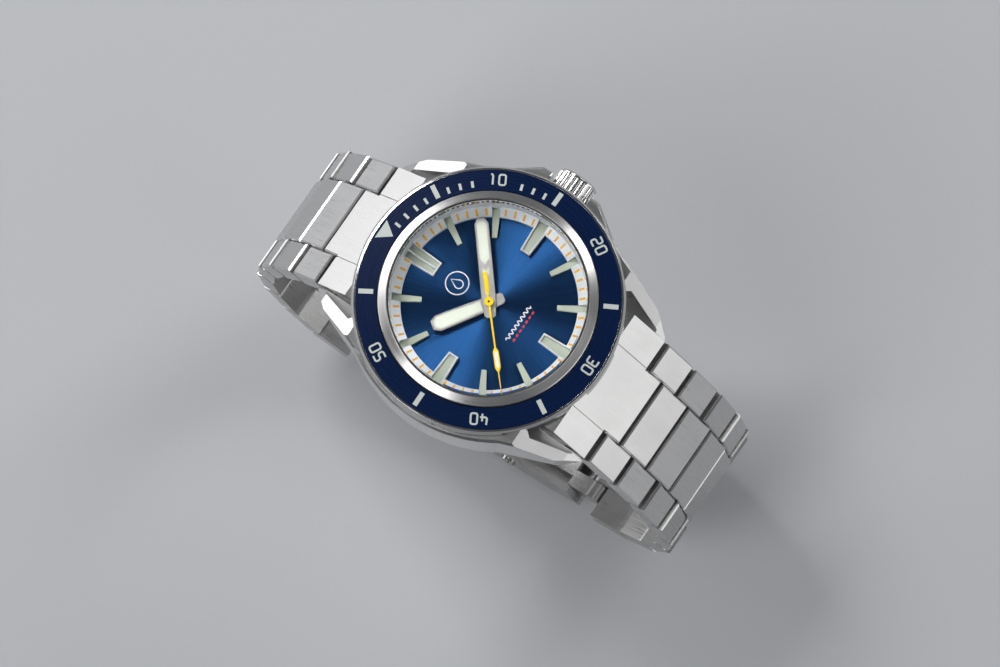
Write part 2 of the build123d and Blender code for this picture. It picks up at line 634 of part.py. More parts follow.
# ---------------------------------------------------------------- bracelet
def chain(start_y, start_z, slopes, end_y, end_z):
    """Pivots and slopes of one side, going outwards (y counted outwards); the last two links close the loop."""
    y, z = start_y, start_z
    pivots = [(y, z)]
    for slope in slopes:
        y += LINK_PITCH * cos(radians(slope))
        z -= LINK_PITCH * sin(radians(slope))
        pivots.append((y, z))
    reach = hypot(end_y - y, end_z - z)
    aim = degrees(atan2(z - end_z, end_y - y))
    spread = degrees(acos(reach / (2 * LINK_PITCH)))
    slopes = slopes + [aim - spread, aim + spread]
    pivots.append((y + LINK_PITCH * cos(radians(aim - spread)), z - LINK_PITCH * sin(radians(aim - spread))))
    pivots.append((end_y, end_z))
    return pivots, slopes


CLASP_CENTRE_Z = CLASP_PIVOT_Z + CLASP_PIVOT_R * cos(radians(CLASP_A))
CHAIN_12 = chain(END_PIVOT_Y, END_PIVOT_Z, ANGLES_12, CLASP_PIVOT_R * sin(radians(CLASP_A)), CLASP_PIVOT_Z)
CHAIN_6 = chain(END_PIVOT_Y, END_PIVOT_Z, ANGLES_6, CLASP_PIVOT_R * sin(radians(CLASP_B)),
                CLASP_CENTRE_Z - CLASP_PIVOT_R * cos(radians(CLASP_B)))
REACH = LINK_PITCH / 4 - LINK_GAP / 2      # how far a piece goes past its pivot
BACK = LINK_PITCH / 4 + LINK_GAP / 2       # where the next piece in the row starts
HALF = LINK_THICK / 2


def strip(u0, u1, v0=-HALF, v1=HALF):
    return Pos((u0 + u1) / 2, (v0 + v1) / 2) * Rectangle(u1 - u0, v1 - v0)


def rounded_end(u, outward):
    """A piece's end at a pivot: a round lower half, so that links can curl, and a square upper half."""
    corner = strip(u, u + REACH, 0, HALF) if outward > 0 else strip(u - REACH, u, 0, HALF)
    return corner + Pos(u, 0) * Circle(HALF)


def link_solids():
    """One H-shaped link, its first pivot at the origin, pointing along +Y: two outer pieces, a centre and pins."""
    inner_x, outer_x = CENTRE_WIDTH / 2 + SIDE_GAP, LINK_WIDTH / 2
    outer = prism_x(strip(0, LINK_PITCH - BACK) + rounded_end(0, -1), inner_x, outer_x)
    outer = bevelled(outer, LINK_CHAMFER)
    outer -= rod_x(PIN_R + 0.01, inner_x - 1, outer_x - 0.8)
    outer -= rod_x(0.41, inner_x - 1, outer_x - 2, y=LINK_PITCH / 2)
    half = CENTRE_WIDTH / 2
    centre = prism_x(strip(BACK, LINK_PITCH) + rounded_end(LINK_PITCH, 1), -half, half)
    centre = bevelled(centre, LINK_CHAMFER)
    centre -= rod_x(PIN_BORE_R, -20, 20, y=LINK_PITCH)
    centre -= rod_x(0.41, -20, 20, y=LINK_PITCH / 2)
    pins = [rod_x(PIN_R, -outer_x + 0.85, outer_x - 0.85), rod_x(0.4, -outer_x + 2.1, outer_x - 2.1, y=LINK_PITCH / 2)]
    return both_sides(outer) + [centre] + pins


def end_link():
    """Fitted piece between the lugs; its centre carries the first link's pivot. Points along +Y."""
    place = Location((0, END_PIVOT_Y, END_PIVOT_Z)) * Location((0, 0, 0), (-END_ANGLE, 0, 0))
    wide = LINK_WIDTH / 2
    tail = Polyline((-4.2, -HALF), (-BACK, -HALF), (-BACK, HALF - LINK_CHAMFER), (-BACK - LINK_CHAMFER, HALF),
                    (-4.2, HALF), close=True)
    tail = prism_x(make_face(tail), -wide, wide)
    centre = prism_x(strip(-4.2, 0) + rounded_end(0, 1), -CENTRE_WIDTH / 2, CENTRE_WIDTH / 2)
    centre = bevelled(centre, LINK_CHAMFER)
    body = place * (tail + centre)
    # hood that rises to the bezel and hugs the case
    hood = [(POCKET_R - 2.4, 7.4), (19.35, 7.4), (23.35, 3.8), (21.4, 1.5), (POCKET_R - 2.4, 1.5)]
    body += prism_x(make_face(Polyline(*hood, close=True)), -wide, wide)
    body -= tube(POCKET_R + 0.12, -5, 12)
    body -= rod_x(BAR_R + 0.05, -20, 20, y=BAR_Y, z=BAR_Z)
    body -= place * rod_x(PIN_BORE_R, -20, 20)
    for x in (-CENTRE_WIDTH / 2 - 0.1, CENTRE_WIDTH / 2 + 0.1):   # the seams between its three rows
        groove = [(15, 7.0), (19.2, 7.0), (23.1, 3.5), (24.75, 2.0), (27, 6), (15, 10)]
        body -= prism_x(make_face(Polyline(*groove, close=True)), x - 0.1, x + 0.1)
    return body


def spring_bars():
    bars = []
    for y in (BAR_Y, -BAR_Y):
        bar = rod_x(BAR_R, -10.6, 10.6, y=y, z=BAR_Z) + rod_x(BAR_TIP_R, -12.5, 12.5, y=y, z=BAR_Z)
        bars.append(bar)
    return bars


# ---------------------------------------------------------------- folding clasp
def sector(x0, x1, r0, r1, a0, a1):
    """A curved plate about the clasp's centre: radii r0 to r1, angles a0 to a1 from straight down."""
    face = Plane.XZ * (Pos((x0 + x1) / 2, -(r0 + r1) / 2) * Rectangle(x1 - x0, r1 - r0))
    return revolve(Rot(X=a0) * face, Axis.X, a1 - a0)


def at_arc(radius, angle):
    return radius * sin(radians(angle)), -radius * cos(radians(angle))


def arc_rod(radius, angle, size, x0, x1):
    y, z = at_arc(radius, angle)
    return rod_x(size, x0, x1, y=y, z=z)


def ears(sign, limit, r0, r1, x1):
    """Two cheeks round the pivot at one end of the clasp."""
    angle = CLASP_A if sign > 0 else CLASP_B
    inner = CENTRE_WIDTH / 2 + SIDE_GAP
    low, high = sorted((sign * angle, sign * limit))
    return sector(inner, x1, r0, r1, low, high) + arc_rod(CLASP_PIVOT_R, sign * angle, HALF, inner, x1)


def clasp_cover():
    """Outer shell: curved plate, side walls, hinge lugs and two cheeks for the adjustable end."""
    wide, wall = CLASP_HALF_WIDTH, 1.1
    plate = sector(-wide, wide, CLASP_R - 1.1, CLASP_R, -18.3, 15.6)
    body = plate
    for side in both_sides(sector(wide - wall, wide, 61.0, CLASP_R, -17.6, 15.6)):
        body += side
    for cheek in both_sides(ears(1, 15.0, CLASP_PIVOT_R - HALF, CLASP_R, wide)):
        body += cheek
    knuckle_x0, knuckle_x1 = HINGE_OUT_X + 0.1, BLADE_HALF_WIDTH
    knuckle = arc_rod(COVER_HINGE_R, COVER_HINGE_A, KNUCKLE_R, knuckle_x0, knuckle_x1)
    knuckle += sector(knuckle_x0, knuckle_x1, COVER_HINGE_R, CLASP_R - 0.5, COVER_HINGE_A - 0.65, COVER_HINGE_A + 0.65)
    for lug in both_sides(knuckle):
        body += lug
    body -= arc_rod(COVER_HINGE_R, COVER_HINGE_A, 0.36, -8, 8)
    body -= arc_rod(63.2, BUTTON_A, BUTTON_R + 0.08, -12, 12)
    for i in range(3):   # adjustment holes in the walls
        body -= arc_rod(63.2, 2.5 + 4 * i, 0.5, -12, 12)
    return body


def clasp_middle_blade():
    wide = BLADE_HALF_WIDTH
    body = sector(-wide, wide, 63.2, 64.0, COVER_HINGE_A + 1.3, MID_HINGE_A - 1.2)
    body -= sector(-3.0, 3.0, 62, 65, -8.5, 6.0)     # lightening window
    body += sector(-HINGE_OUT_X, HINGE_OUT_X, 63.3, 64.0, COVER_HINGE_A, COVER_HINGE_A + 2)
    body += arc_rod(COVER_HINGE_R, COVER_HINGE_A, KNUCKLE_R, -HINGE_OUT_X, HINGE_OUT_X)
    for arm in both_sides(sector(HINGE_OUT_X + 0.1, wide, 63.2, 63.75, MID_HINGE_A - 2, MID_HINGE_A)
                          + arc_rod(MID_HINGE_R, MID_HINGE_A, KNUCKLE_R, HINGE_OUT_X + 0.1, wide)):
        body += arm
    pins = [arc_rod(COVER_HINGE_R, COVER_HINGE_A, 0.33, -6.8, 6.8), arc_rod(MID_HINGE_R, MID_HINGE_A, 0.33, -6.8, 6.8)]
    body -= arc_rod(COVER_HINGE_R, COVER_HINGE_A, 0.34, -8, 8)
    body -= arc_rod(MID_HINGE_R, MID_HINGE_A, 0.34, -8, 8)
    return [body] + pins


def clasp_inner_blade():
    wide = BLADE_HALF_WIDTH
    body = sector(-wide, wide, 61.9, 62.7, -16.6, MID_HINGE_A - 1.2)
    body -= sector(-3.0, 3.0, 61, 63, -12.0, 6.0)     # lightening window
    body += sector(-HINGE_OUT_X, HINGE_OUT_X, 62.2, 62.7, MID_HINGE_A - 2, MID_HINGE_A)
    body += arc_rod(MID_HINGE_R, MID_HINGE_A, KNUCKLE_R, -HINGE_OUT_X, HINGE_OUT_X)
    body -= arc_rod(MID_HINGE_R, MID_HINGE_A, 0.36, -8, 8)
    for cheek in both_sides(ears(-1, 16.6, 61.9, CLASP_PIVOT_R + 1.2, 8.6)):
        body += cheek
    body -= arc_rod(CLASP_PIVOT_R, -CLASP_B, PIN_R + 0.01, -8, 8)
    body += arc_rod(CLASP_PIVOT_R, -CLASP_B, PIN_R, -8.2, 8.2)
    return body


def clasp_button():
    """Push button on the +X side: a cap outside the wall on a short plunger."""
    cap = arc_rod(63.2, BUTTON_A, BUTTON_R, 8.1, 10.6)
    return chamfer(cap.edges().filter_by(GeomType.CIRCLE), 0.15)


# ---------------------------------------------------------------- files
os.makedirs("parts", exist_ok=True)
save("case_middle", case_middle())
save("case_back", case_back())
save("gaskets", *gaskets())
save("crystal", crystal())
save("crystal_ring", crystal_ring())
save("bezel_ring", bezel_ring())
save("bezel_insert", bezel_insert())
save("bezel_click_spring", bezel_click_spring())
save("crown_tube", crown_tube())
save("crown", crown())
save("winding_stem", winding_stem())
save("sliding_pinion", sliding_pinion())
save("chapter_ring", chapter_ring())
save("hour_markers", *hour_markers())
save("dial", dial())
save("hour_hand", hour_hand())
save("minute_hand", minute_hand())
save("seconds_hand", seconds_hand())
save("movement_holder", movement_holder())
save("main_plate", main_plate())
save("train_bridge", train_bridge())
save("balance_cock", balance_cock())
save("bridge_screws", *bridge_screws())
save("jewels", *jewels())
save("barrel", barrel())
save("mainspring", *mainspring())
save("center_wheel", center_wheel())
save("third_wheel", third_wheel())
save("fourth_wheel", fourth_wheel())
save("escape_wheel", escape_wheel())
save("pallet_fork", pallet_fork())
save("balance_wheel", balance_wheel())
save("hairspring", hairspring())
save("rotor", rotor())
save("minute_wheel", minute_wheel())
save("hour_wheel", hour_wheel())
save("spring_bars", *spring_bars())

fitted = end_link()
save("end_link_12", fitted)
save("end_link_6", Rot(Z=180) * fitted)
template = link_solids()
for side, turn, (pivots, slopes) in (("12", 0, CHAIN_12), ("6", 180, CHAIN_6)):
    for number, ((y, z), slope) in enumerate(zip(pivots, slopes), start=1):
        place = Rot(Z=turn) * Pos(0, y, z) * Rot(X=-slope)
        save("link_" + side + "_" + str(number), *[place * piece for piece in template])
    print("side", side, "pivots", [(round(y, 2), round(z, 2)) for y, z in pivots])
    print("side", side, "slopes", [round(slope, 2) for slope in slopes])

lift = Pos(0, 0, CLASP_CENTRE_Z)
save("clasp_inner_blade", lift * clasp_inner_blade())
save("clasp_middle_blade", *[lift * piece for piece in clasp_middle_blade()])
save("clasp_cover", lift * clasp_cover())
button = lift * clasp_button()
save("clasp_button_right", button)
save("clasp_button_left", mirror(button, Plane.YZ))
print("clasp centre height", round(CLASP_CENTRE_Z, 3))
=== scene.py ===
from math import cos, pi, radians, sin

import bmesh
import bpy
from mathutils import Matrix, Vector


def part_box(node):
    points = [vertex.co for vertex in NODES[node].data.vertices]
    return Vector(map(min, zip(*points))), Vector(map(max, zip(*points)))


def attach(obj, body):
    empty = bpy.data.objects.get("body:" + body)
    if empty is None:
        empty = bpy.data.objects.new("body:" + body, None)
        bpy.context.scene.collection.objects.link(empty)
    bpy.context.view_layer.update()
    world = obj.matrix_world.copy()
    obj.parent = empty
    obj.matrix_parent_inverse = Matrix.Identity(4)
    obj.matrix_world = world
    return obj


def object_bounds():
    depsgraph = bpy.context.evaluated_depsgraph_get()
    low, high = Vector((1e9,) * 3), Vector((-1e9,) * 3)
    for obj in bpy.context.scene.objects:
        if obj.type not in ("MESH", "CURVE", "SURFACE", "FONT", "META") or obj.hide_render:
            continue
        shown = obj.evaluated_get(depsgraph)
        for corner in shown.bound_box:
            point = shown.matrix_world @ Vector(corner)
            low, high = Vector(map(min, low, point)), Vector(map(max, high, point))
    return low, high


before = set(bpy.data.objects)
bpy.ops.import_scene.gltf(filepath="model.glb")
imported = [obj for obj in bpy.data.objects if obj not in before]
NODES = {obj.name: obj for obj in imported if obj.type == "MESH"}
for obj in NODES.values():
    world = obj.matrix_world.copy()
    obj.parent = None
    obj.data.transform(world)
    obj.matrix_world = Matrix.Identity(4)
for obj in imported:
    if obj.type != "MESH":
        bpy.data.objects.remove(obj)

# The looks of an automatic dive watch: materials for every CAD node, the print and
# lume that lie on them, studio light and the camera. Outlines are in millimetres.

MM = 0.001
CAD_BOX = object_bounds()


def heights(node):
    """Lowest and highest point of a node, in millimetres."""
    low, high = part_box(node)
    return low.z / MM, high.z / MM


# ---------------------------------------------------------------- sizes
INSERT_OUT_R, INSERT_IN_R = 20.23, 17.1      # where the insert's sloped top starts and ends
INSERT_IN_Z = heights("bezel_insert")[1]
INSERT_OUT_Z = INSERT_IN_Z - 0.3
LUME_IN_R, LUME_OUT_R, TICK_OUT_R = 17.6, 19.9, 18.65
BAR_WIDTH, TICK_WIDTH = 0.75, 0.42
TRIANGLE_HALF = 1.65
DIGIT_WIDTH, DIGIT_HEIGHT, DIGIT_STROKE, DIGIT_GAP = 1.0, 1.66, 0.29, 0.22
CHAPTER_IN_R, CHAPTER_OUT_R = 13.6, 15.0     # slope of the chapter ring
CHAPTER_IN_Z, CHAPTER_OUT_Z = 8.1, 9.0
DIAL_TOP = heights("dial")[1]
HOUR_TOP = heights("hour_hand")[1]
MINUTE_TOP = heights("minute_hand")[1]
HOUR_AT, MINUTE_AT, SECOND_AT = 304.2, 50.3, 228.0   # clockwise from 12, as in the CAD
INK = 0.025                                  # thickness of print and paint
SUNK = 0.02                                  # how deep a print reaches into what it lies on
DIGIT_ROUND = 0.34                           # rounding of a digit's corners
TRACK_IN_R, TRACK_OUT_R, TRACK_WIDTH = 13.78, 14.72, 0.34
SECOND_LUME_Z = 9.32                         # where the lozenge lies on the seconds hand
PIN_Z, PIN_R, PIN_RISE, PIN_SIDES = 9.4, 0.17, 0.05, 24
FLOOR_HALF, FLOOR_GAP = 3.0, 0.0005          # metres; the gap lies under the lowest CAD point


# ---------------------------------------------------------------- node trees
def start_material(name, colour, metallic=0.0, roughness=0.4, **sockets):
    """A Principled material; sockets are set by their names with _ for spaces."""
    made = bpy.data.materials.new(name)
    made.use_nodes = True
    shader = made.node_tree.nodes["Principled BSDF"]
    shader.inputs["Base Color"].default_value = (*colour, 1)
    shader.inputs["Metallic"].default_value = metallic
    shader.inputs["Roughness"].default_value = roughness
    for socket, value in sockets.items():
        shader.inputs[socket.replace("_", " ")].default_value = value
    return made


def add(made, kind, inputs=(), **settings):
    """A new node with its settings, and its inputs linked or set in order."""
    node = made.node_tree.nodes.new(kind)
    for key, value in settings.items():
        setattr(node, key, value)
    for socket, value in dict(inputs).items():
        if isinstance(value, bpy.types.NodeSocket):
            made.node_tree.links.new(value, node.inputs[socket])
        else:
            node.inputs[socket].default_value = value
    return node


def feed(made, socket, source):
    made.node_tree.links.new(source, made.node_tree.nodes["Principled BSDF"].inputs[socket])


def point_of(made):
    """The surface point in the object's own frame, in metres."""
    return add(made, "ShaderNodeTexCoord").outputs["Object"]


def line_space(made, run, fine, slow):
    """Coordinates in which noise becomes lines: across X, Y or Z, round Z, or rays from Z.
    fine and slow are the widths in millimetres across and along the lines."""
    across, along = 1 / (fine * MM), 1 / (slow * MM)
    point = point_of(made)
    if run in "XYZ":
        scale = [across if axis == run else along for axis in "XYZ"]
        return add(made, "ShaderNodeVectorMath", {0: point, 1: scale}, operation="MULTIPLY").outputs[0]
    flat = add(made, "ShaderNodeVectorMath", {0: point, 1: (1, 1, 0)}, operation="MULTIPLY").outputs[0]
    radius = add(made, "ShaderNodeVectorMath", {0: flat}, operation="LENGTH").outputs["Value"]
    ray = add(made, "ShaderNodeVectorMath", {0: flat}, operation="NORMALIZE").outputs[0]
    reach = 15 * MM      # the radius at which the widths hold
    turn_scale, radius_scale = (reach * across, along) if run == "rays" else (reach * along, across)
    turn = add(made, "ShaderNodeVectorMath", {0: ray, "Scale": turn_scale}, operation="SCALE").outputs[0]
    grown = add(made, "ShaderNodeMath", {0: radius, 1: radius_scale}, operation="MULTIPLY").outputs[0]
    lift = add(made, "ShaderNodeCombineXYZ", {"Z": grown}).outputs[0]
    return add(made, "ShaderNodeVectorMath", {0: turn, 1: lift}, operation="ADD").outputs[0]


def noise(made, vector, detail=2.0, scale=1.0, roughness=0.6):
    return add(made, "ShaderNodeTexNoise", {"Vector": vector, "Scale": scale, "Detail": detail,
                                            "Roughness": roughness}).outputs["Fac"]


def ranged(made, value, low, high, start=0.3, end=0.7):
    return add(made, "ShaderNodeMapRange", {"Value": value, "From Min": start, "From Max": end,
                                            "To Min": low, "To Max": high}).outputs[0]


def tinted(made, value, dark, light):
    """A colour between two, by a value from 0 to 1."""
    return add(made, "ShaderNodeMix", {"Factor": value, "A": (*dark, 1), "B": (*light, 1)},
               data_type="RGBA").outputs["Result"]


def edge_normal(made, radius):
    """A small round on the sharp edges, in millimetres."""
    return add(made, "ShaderNodeBevel", {"Radius": radius * MM}, samples=4).outputs["Normal"]


def bump(made, height, depth, strength=1.0, normal=None):
    inputs = {"Height": height, "Distance": depth * MM, "Strength": strength}
    if normal is not None:
        inputs["Normal"] = normal
    feed(made, "Normal", add(made, "ShaderNodeBump", inputs).outputs["Normal"])


def smudges(made, low, high, size=6.0):
    """Slow changes of roughness, as from handling."""
    cloud = noise(made, point_of(made), detail=3.0, scale=1 / (size * MM))
    return ranged(made, cloud, low, high, 0.35, 0.65)


def mixed(made, factor, first, second):
    return add(made, "ShaderNodeMix", {"Factor": factor, "A": first, "B": second}).outputs["Result"]


# ---------------------------------------------------------------- metals
STEEL = (0.6, 0.595, 0.59)
STEEL_DARK = (0.55, 0.547, 0.543)
RING_STEEL = ((0.72, 0.71, 0.7), (0.8, 0.79, 0.78))
GROOVES_ROUND_AXIS = 0.25    # a quarter turn of a radial tangent, which alone gives rays


def brushed_steel(name, run, axis, fine=0.12, slow=7.0, roughness=(0.24, 0.34),
                  colours=(STEEL_DARK, STEEL), anisotropic=0.6, round_edges=0.0):
    """Steel with fine brush lines: run sets how they are drawn, and axis is the tangent's."""
    made = start_material(name, colours[1], 1.0, roughness[0], Anisotropic=anisotropic,
                          Anisotropic_Rotation=GROOVES_ROUND_AXIS)
    lines = noise(made, line_space(made, run, fine, slow), detail=2.0)
    feed(made, "Base Color", tinted(made, ranged(made, lines, 0.0, 1.0), *colours))
    worn = smudges(made, 0.0, 0.05)
    grooves = ranged(made, lines, *roughness)
    rough = add(made, "ShaderNodeMath", {0: grooves, 1: worn}, operation="ADD").outputs[0]
    feed(made, "Roughness", rough)
    feed(made, "Tangent", add(made, "ShaderNodeTangent", direction_type="RADIAL", axis=axis).outputs[0])
    bump(made, lines, 0.001, 0.25, edge_normal(made, round_edges) if round_edges else None)
    return made


def polished_steel(name, colour=STEEL, roughness=(0.07, 0.15), round_edges=0.07):
    made = start_material(name, colour, 1.0, roughness[0])
    feed(made, "Roughness", smudges(made, *roughness, size=4.0))
    fine = noise(made, point_of(made), detail=2.0, scale=1 / (0.25 * MM))
    bump(made, fine, 0.002, 0.3, edge_normal(made, round_edges) if round_edges else None)
    return made


def facing(made, axis, low, high):
    """1 where the surface's normal leans on an axis by more than high, 0 where less than low."""
    normal = add(made, "ShaderNodeNewGeometry").outputs["True Normal"]
    part = add(made, "ShaderNodeSeparateXYZ", {0: normal}).outputs[axis]
    size = add(made, "ShaderNodeMath", {0: part}, operation="ABSOLUTE").outputs[0]
    return ranged(made, size, 0.0, 1.0, low, high)


def link_steel():
    """Lengthwise brushing on top, and polished bevels down the long edges."""
    made = brushed_steel("link_steel", "X", "X", slow=9.0)
    rough = made.node_tree.nodes["Principled BSDF"].inputs["Roughness"].links[0].from_socket
    lean = facing(made, "X", 0.3, 0.45)
    steep = facing(made, "X", 0.85, 0.95)
    bevel = add(made, "ShaderNodeMath", {0: lean, 1: steep}, operation="SUBTRACT").outputs[0]
    feed(made, "Roughness", mixed(made, bevel, rough, 0.16))
    return made


def case_steel():
    """Brushed flat tops and lugs, and satin flanks."""
    made = brushed_steel("case_steel", "X", "X", roughness=(0.26, 0.36), round_edges=0.1)
    rough = made.node_tree.nodes["Principled BSDF"].inputs["Roughness"].links[0].from_socket
    flat = facing(made, "Z", 0.6, 0.75)
    feed(made, "Roughness", mixed(made, flat, 0.2, rough))
    return made


def movement_metal(name, colour, run, fine, depth):
    """Nickel or gilt metal with a fine regular finish."""
    made = start_material(name, colour, 1.0, 0.25)
    lines = noise(made, line_space(made, run, fine, 8.0), detail=2.0)
    feed(made, "Roughness", ranged(made, lines, 0.16, 0.34))
    feed(made, "Base Color", tinted(made, lines, [0.8 * c for c in colour], colour))
    bump(made, lines, depth, 0.4)
    return made


def striped_nickel():
    """Wide parallel stripes, as on a finished bridge and rotor."""
    made = start_material("striped_nickel", (0.6, 0.6, 0.6), 1.0, 0.25)
    point = point_of(made)
    wave = add(made, "ShaderNodeTexWave", {"Vector": point, "Scale": 0.31 / (1.2 * MM), "Distortion": 0.2},
               bands_direction="DIAGONAL").outputs["Fac"]
    feed(made, "Roughness", ranged(made, wave, 0.14, 0.36, 0.0, 1.0))
    feed(made, "Base Color", tinted(made, wave, (0.45, 0.45, 0.46), (0.68, 0.68, 0.69)))
    bump(made, wave, 0.01, 0.4)
    return made


# ---------------------------------------------------------------- paints, glass and plastics
def sunburst():
    """Navy lacquer over metal brushed outwards from the centre."""
    made = start_material("dial_sunburst", (0.015, 0.068, 0.2), 1.0, 0.3, Anisotropic=0.93)
    rays = noise(made, line_space(made, "rays", 0.16, 9.0), detail=3.0)
    share = ranged(made, rays, 0.0, 1.0)
    feed(made, "Base Color", tinted(made, share, (0.0125, 0.058, 0.17), (0.0175, 0.078, 0.225)))
    feed(made, "Roughness", ranged(made, rays, 0.3, 0.36))
    feed(made, "Tangent", add(made, "ShaderNodeTangent", direction_type="RADIAL", axis="Z").outputs[0])
    bump(made, rays, 0.003, 0.4)
    return made


def insert_navy():
    """Navy ceramic: satin, with a barely visible grain."""
    made = start_material("insert_navy", (0.003, 0.012, 0.05), 0.0, 0.26, Specular_IOR_Level=0.12)
    grain = noise(made, line_space(made, "round", 0.12, 3.0), detail=3.0)
    feed(made, "Base Color", tinted(made, grain, (0.0025, 0.01, 0.045), (0.0035, 0.014, 0.056)))
    feed(made, "Roughness", ranged(made, grain, 0.22, 0.3))
    bump(made, grain, 0.004, 0.3, edge_normal(made, 0.06))
    return made


def paint(name, colour, roughness=0.5, grain=0.15, depth=0.006, shift=0.9, metallic=0.0):
    """Print, lume, moulded plastic or satin metal with a fine grain."""
    made = start_material(name, colour, metallic, roughness)
    speck = noise(made, point_of(made), detail=3.0, scale=1 / (grain * MM))
    feed(made, "Base Color", tinted(made, speck, [shift * c for c in colour], colour))
    feed(made, "Roughness", ranged(made, speck, roughness - 0.06, roughness + 0.06))
    bump(made, speck, depth, 0.5)
    return made


def chapter_silver():
    """Satin silver paint on the sloped ring and the marker frames."""
    made = start_material("chapter_silver", (0.48, 0.51, 0.53), 0.2, 0.42)
    grain = noise(made, line_space(made, "round", 0.1, 2.0), detail=2.0)
    feed(made, "Base Color", tinted(made, grain, (0.44, 0.47, 0.49), (0.5, 0.53, 0.55)))
    feed(made, "Roughness", ranged(made, grain, 0.36, 0.48))
    bump(made, grain, 0.004, 0.3)
    return made


def crystal_glass():
    """Clear coated crystal: hardly any reflection, and lamps shine through it.
    Its index is below sapphire's 1.77, so that its rim bends less of the dial's blue."""
    made = start_material("crystal_glass", (1.0, 1.0, 1.0), 0.0, 0.0, Transmission_Weight=1.0,
                          IOR=1.25, Specular_IOR_Level=0.12)
    feed(made, "Roughness", smudges(made, 0.0, 0.012))
    tree = made.node_tree
    shader, out = tree.nodes["Principled BSDF"], tree.nodes["Material Output"]
    open_to_light = add(made, "ShaderNodeBsdfTransparent")
    is_shadow = add(made, "ShaderNodeLightPath").outputs["Is Shadow Ray"]
    mix = add(made, "ShaderNodeMixShader", {0: is_shadow, 1: shader.outputs[0], 2: open_to_light.outputs[0]})
    tree.links.new(mix.outputs[0], out.inputs["Surface"])
    return made


def ruby():
    made = start_material("ruby", (0.5, 0.01, 0.07), 0.0, 0.12, Transmission_Weight=0.3, IOR=1.76)
    cloud = noise(made, point_of(made), scale=1 / (0.2 * MM))
    feed(made, "Base Color", tinted(made, cloud, (0.38, 0.005, 0.05), (0.6, 0.02, 0.09)))
    return made


# ---------------------------------------------------------------- what each node is made of
def finish_nodes():
    links = [name for name in NODES if name.startswith("link_")]
    silver = paint("hand_silver", (0.5, 0.49, 0.48), 0.36, depth=0.0005, shift=0.96, metallic=0.85)
    plain = polished_steel("polished_steel")
    nickel = movement_metal("nickel_plate", (0.62, 0.62, 0.62), "round", 0.3, 0.006)
    gilt = movement_metal("gilt_wheels", (0.72, 0.53, 0.24), "round", 0.12, 0.004)
    spring = movement_metal("spring_steel", (0.45, 0.46, 0.5), "Z", 0.1, 0.003)
    stripes = striped_nickel()
    finishes = [
        (links + ["end_link_12", "end_link_6"], link_steel()),
        (["clasp_cover"], brushed_steel("clasp_steel", "X", "X", slow=12.0)),
        (["clasp_inner_blade", "clasp_middle_blade"],
         brushed_steel("blade_steel", "X", "X", fine=0.3, roughness=(0.14, 0.26))),
        (["case_middle"], case_steel()),
        (["case_back"], brushed_steel("case_back_steel", "round", "Z", slow=9.0)),
        (["crystal_ring"],
         brushed_steel("crystal_ring_steel", "round", "Z", fine=0.1, slow=14.0, roughness=(0.26, 0.34),
                       anisotropic=0.75, colours=RING_STEEL)),
        (["bezel_ring", "crown", "clasp_button_right", "clasp_button_left"], plain),
        (["crown_tube", "winding_stem", "sliding_pinion", "spring_bars", "bezel_click_spring"],
         polished_steel("turned_steel", STEEL_DARK, (0.15, 0.25), 0.04)),
        (["bezel_insert"], insert_navy()),
        (["dial"], sunburst()),
        (["chapter_ring"], chapter_silver()),
        (["hour_markers"], paint("marker_lume", (0.36, 0.4, 0.32), 0.6)),
        (["hour_hand", "minute_hand"], silver),
        (["seconds_hand"], paint("hand_yellow", (0.68, 0.47, 0.0), 0.3, depth=0.001, shift=0.96)),
        (["crystal"], crystal_glass()),
        (["gaskets"], paint("seal_rubber", (0.02, 0.02, 0.02), 0.6)),
        (["movement_holder"], paint("holder_plastic", (0.7, 0.7, 0.66), 0.5)),
        (["train_bridge", "balance_cock", "rotor"], stripes),
        (["main_plate", "barrel"], nickel),
        (["center_wheel", "third_wheel", "fourth_wheel", "minute_wheel", "hour_wheel", "balance_wheel"],
         gilt),
        (["mainspring", "hairspring", "escape_wheel", "pallet_fork", "bridge_screws"], spring),
        (["jewels"], ruby()),
    ]
    for names, made in finishes:
        for name in names:
            mesh = NODES[name].data
            for number in range(max(1, len(mesh.materials))):
                if len(mesh.materials) <= number:
                    mesh.materials.append(made)
                mesh.materials[number] = made


# ---------------------------------------------------------------- outlines and prisms
def turned(point, clock_angle):
    """A point drawn with 12 o'clock up, turned clockwise by an angle in degrees."""
    a = radians(clock_angle)
    x, y = point
    return x * cos(a) + y * sin(a), y * cos(a) - x * sin(a)


def insert_surface(x, y):
    share = ((x * x + y * y) ** 0.5 - INSERT_IN_R) / (INSERT_OUT_R - INSERT_IN_R)
    return INSERT_IN_Z + share * (INSERT_OUT_Z - INSERT_IN_Z)


def chapter_surface(x, y):
    share = ((x * x + y * y) ** 0.5 - CHAPTER_IN_R) / (CHAPTER_OUT_R - CHAPTER_IN_R)
    return CHAPTER_IN_Z + share * (CHAPTER_OUT_Z - CHAPTER_IN_Z)


def level(height):
    return lambda x, y: height


